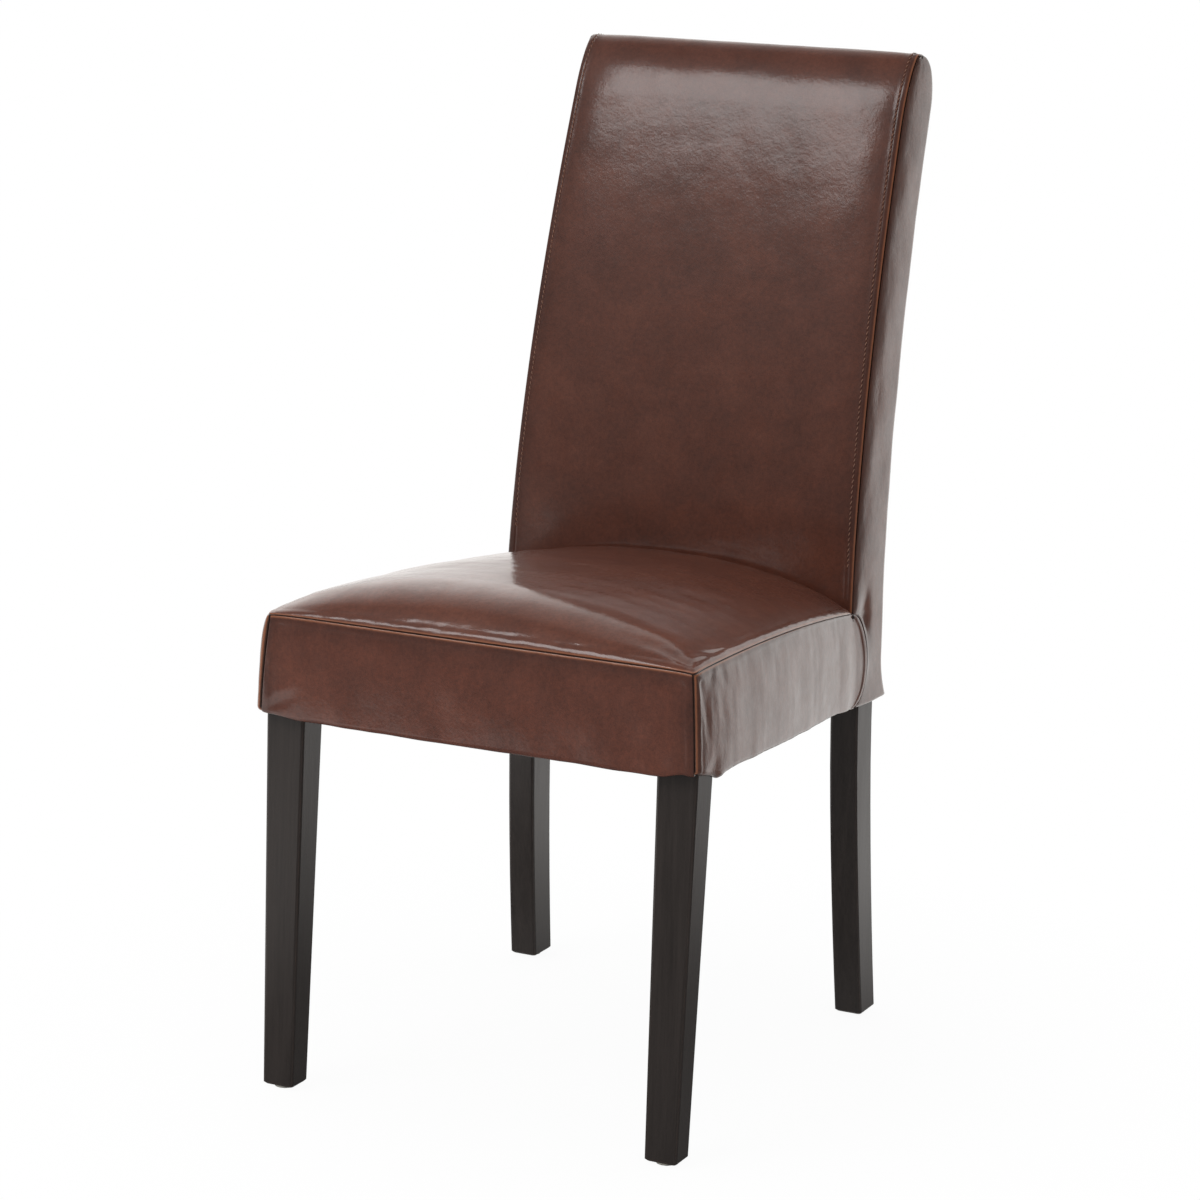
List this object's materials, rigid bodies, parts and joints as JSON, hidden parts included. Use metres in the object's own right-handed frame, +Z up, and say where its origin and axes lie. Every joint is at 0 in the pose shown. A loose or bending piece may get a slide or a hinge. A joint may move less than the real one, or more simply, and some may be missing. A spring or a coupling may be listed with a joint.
{
  "type": "parsons chair",
  "caption": "High-backed parsons dining chair covered in brown leather to below the seat rails, on dark tapered wooden front legs and swept rear legs.",
  "frame": {"origin": "on the floor, under the middle of the chair's width and depth", "axes": "+Z up, the seat faces -Y, +X to the right of someone who looks at the chair's front"},
  "size_m": [0.47, 0.6578, 1.029],
  "materials": {
    "dark_wood": "satin",
    "frame_wood": "matte",
    "leather": "satin",
    "foam": "matte",
    "wadding": "matte",
    "webbing": "matte",
    "dust_cloth": "matte",
    "screw_steel": "satin",
    "nylon": "satin"
  },
  "bodies": {
    "root": {"front_leg_right": "dark_wood", "front_leg_left": "dark_wood", "rear_post_right": "dark_wood", "rear_post_left": "dark_wood", "side_rail_right": "frame_wood", "side_rail_left": "frame_wood", "front_rail": "frame_wood", "rear_rail": "frame_wood", "back_lower_rail": "frame_wood", "back_middle_rail": "frame_wood", "back_top_rail": "frame_wood", "corner_block_front_right": "frame_wood", "corner_block_front_left": "frame_wood", "corner_block_rear_right": "frame_wood", "corner_block_rear_left": "frame_wood", "block_screw_front_right_a": "screw_steel", "block_screw_front_right_b": "screw_steel", "block_screw_front_left_a": "screw_steel", "block_screw_front_left_b": "screw_steel", "block_screw_rear_right_a": "screw_steel", "block_screw_rear_right_b": "screw_steel", "block_screw_rear_left_a": "screw_steel", "block_screw_rear_left_b": "screw_steel", "glide_front_right": "nylon", "glide_front_left": "nylon", "glide_rear_right": "nylon", "glide_rear_left": "nylon", "seat_strap_long_1": "webbing", "seat_strap_long_2": "webbing", "seat_strap_long_3": "webbing", "seat_strap_long_4": "webbing", "seat_strap_cross_1": "webbing", "seat_strap_cross_2": "webbing", "seat_strap_cross_3": "webbing", "back_strap_1": "webbing", "back_strap_2": "webbing", "back_strap_3": "webbing", "seat_foam": "foam", "seat_wadding": "wadding", "back_foam": "foam", "back_rear_pad": "wadding", "seat_top_cover": "leather", "seat_front_band": "leather", "seat_side_band_right": "leather", "seat_side_band_left": "leather", "back_front_cover": "leather", "back_side_cover_right": "leather", "back_side_cover_left": "leather", "back_rear_cover": "leather", "dust_cover": "dust_cloth"}
  },
  "joints": []
}
